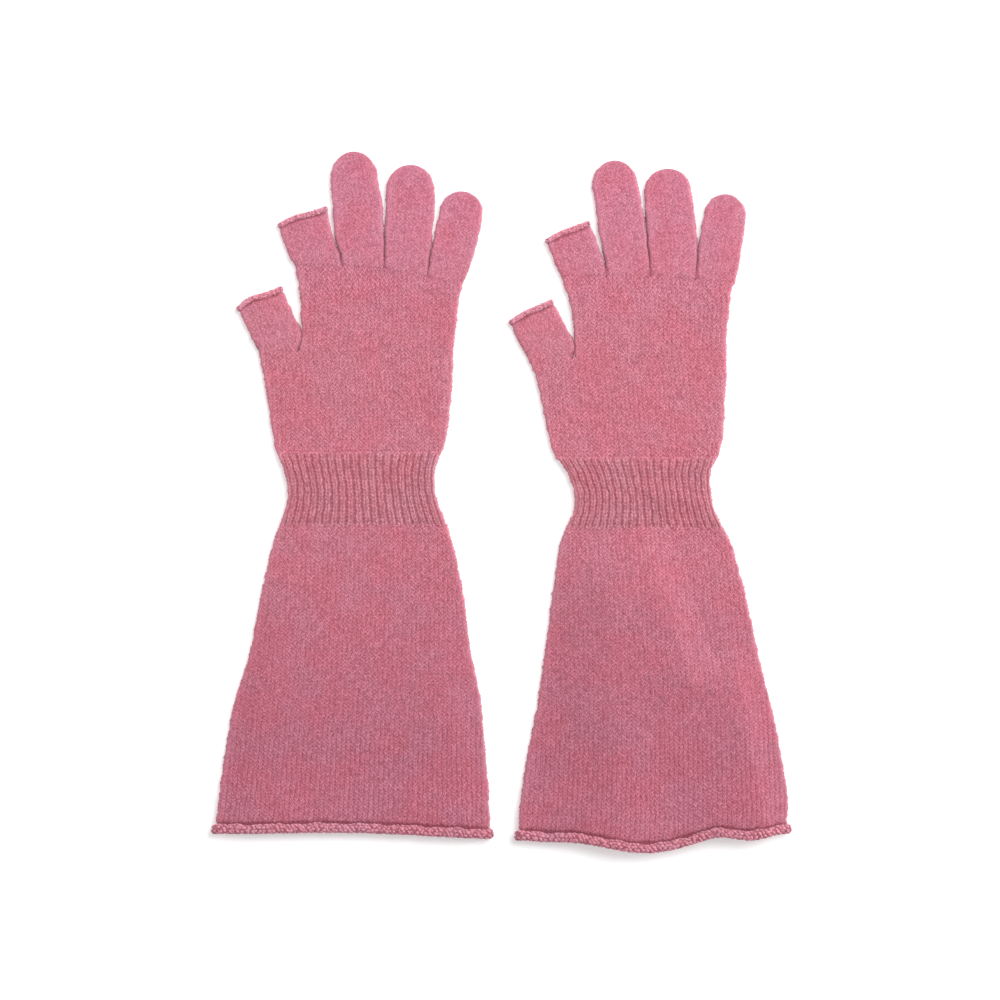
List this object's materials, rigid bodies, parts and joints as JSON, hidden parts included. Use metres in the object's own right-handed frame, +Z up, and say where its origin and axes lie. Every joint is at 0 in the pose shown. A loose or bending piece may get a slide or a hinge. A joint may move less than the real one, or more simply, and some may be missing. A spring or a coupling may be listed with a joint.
{
  "type": "pair of knitted gauntlet gloves",
  "caption": "Long knitted gloves laid flat side by side, with ribbed wrists, flared cuffs with rolled hems, closed outer fingers and open thumb and index tips.",
  "frame": {"origin": "middle of the pair's outline in plan, on the surface that the gloves lie on", "axes": "+Y towards the fingertips, +Z up from the surface, +X to the right with the left glove on the -X side"},
  "size_m": [0.3484, 0.4204, 0.0093],
  "materials": {
    "knit_fingers": "soft heathered pink wool, plain knit, matt with a faint fuzz",
    "knit_hand": "soft heathered pink wool, plain knit, matt with a faint fuzz",
    "wrist_rib": "soft heathered pink wool in 1x1 rib, matt",
    "knit_cuff": "soft heathered pink wool, plain knit, matt with a faint fuzz",
    "rolled_edge": "soft heathered pink wool, purl side of plain knit, matt"
  },
  "bodies": {
    "root": {"left_finger_little": "knit_fingers", "left_finger_ring": "knit_fingers", "left_finger_middle": "knit_fingers", "left_finger_index": "knit_fingers", "left_thumb": "knit_fingers", "left_finger_index_roll": "rolled_edge", "left_thumb_roll": "rolled_edge", "left_knuckles": "knit_hand", "left_palm": "knit_hand", "left_wrist_rib": "wrist_rib", "left_cuff": "knit_cuff", "left_cuff_roll": "rolled_edge", "right_finger_little": "knit_fingers", "right_finger_ring": "knit_fingers", "right_finger_middle": "knit_fingers", "right_finger_index": "knit_fingers", "right_thumb": "knit_fingers", "right_finger_index_roll": "rolled_edge", "right_thumb_roll": "rolled_edge", "right_knuckles": "knit_hand", "right_palm": "knit_hand", "right_wrist_rib": "wrist_rib", "right_cuff": "knit_cuff", "right_cuff_roll": "rolled_edge"}
  },
  "joints": []
}
